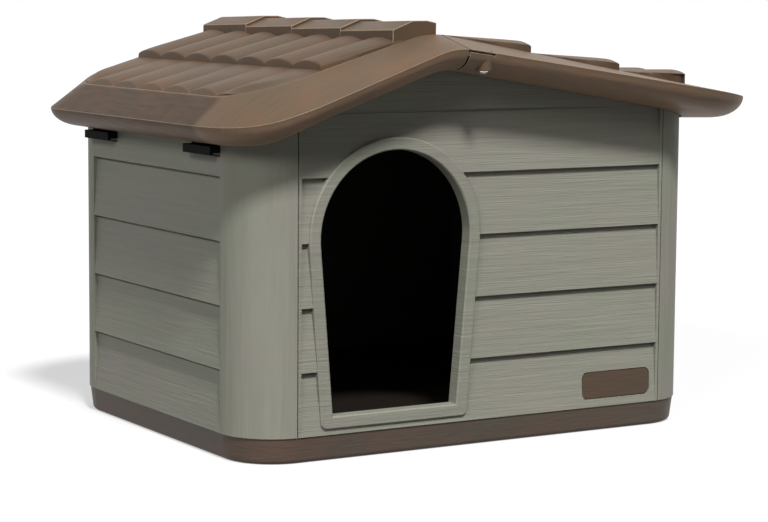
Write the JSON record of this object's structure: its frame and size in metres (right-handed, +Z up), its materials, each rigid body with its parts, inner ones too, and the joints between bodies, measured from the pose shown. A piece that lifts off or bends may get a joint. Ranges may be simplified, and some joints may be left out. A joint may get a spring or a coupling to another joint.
{
  "type": "dog house",
  "caption": "Indoor and outdoor pet house with an arched doorway in its plank front wall and a tiled lift-off roof held by sliding latches.",
  "frame": {"origin": "on the ground under the middle of the walls' footprint", "axes": "+X to the viewer's right along the front, where the roof reaches out further; -Y out of the doorway; +Z up"},
  "size_m": [0.6107, 0.49, 0.4085],
  "materials": {
    "wall": "matt, moulded wood grain",
    "roof": "matt, fine streaks",
    "base": "matt, fine streaks",
    "plate": "matt",
    "latch": "fine matt texture",
    "screw": "bright plated"
  },
  "bodies": {
    "house": {"base_tray": "base", "front_wall": "wall", "rear_wall": "wall", "left_wall": "wall", "right_wall": "wall", "name_plate": "plate"},
    "roof": {"roof_left": "roof", "roof_right": "roof", "ridge_screw_front": "screw", "ridge_screw_rear": "screw"},
    "latch_left_front": {"latch_left_front": "latch"},
    "latch_left_rear": {"latch_left_rear": "latch"},
    "latch_right_front": {"latch_right_front": "latch"},
    "latch_right_rear": {"latch_right_rear": "latch"}
  },
  "joints": [
    {"name": "roof_lift", "type": "slide", "parent": "house", "child": "roof", "axis": [0, 0, 1], "range_m": [0, 0.2]},
    {"name": "latch_left_front_slide", "type": "slide", "parent": "house", "child": "latch_left_front", "axis": [1, 0, 0], "range_m": [0, 0.009]},
    {"name": "latch_left_rear_slide", "type": "slide", "parent": "house", "child": "latch_left_rear", "axis": [1, 0, 0], "range_m": [0, 0.009]},
    {"name": "latch_right_front_slide", "type": "slide", "parent": "house", "child": "latch_right_front", "axis": [-1, 0, 0], "range_m": [0, 0.009]},
    {"name": "latch_right_rear_slide", "type": "slide", "parent": "house", "child": "latch_right_rear", "axis": [-1, 0, 0], "range_m": [0, 0.009]}
  ]
}
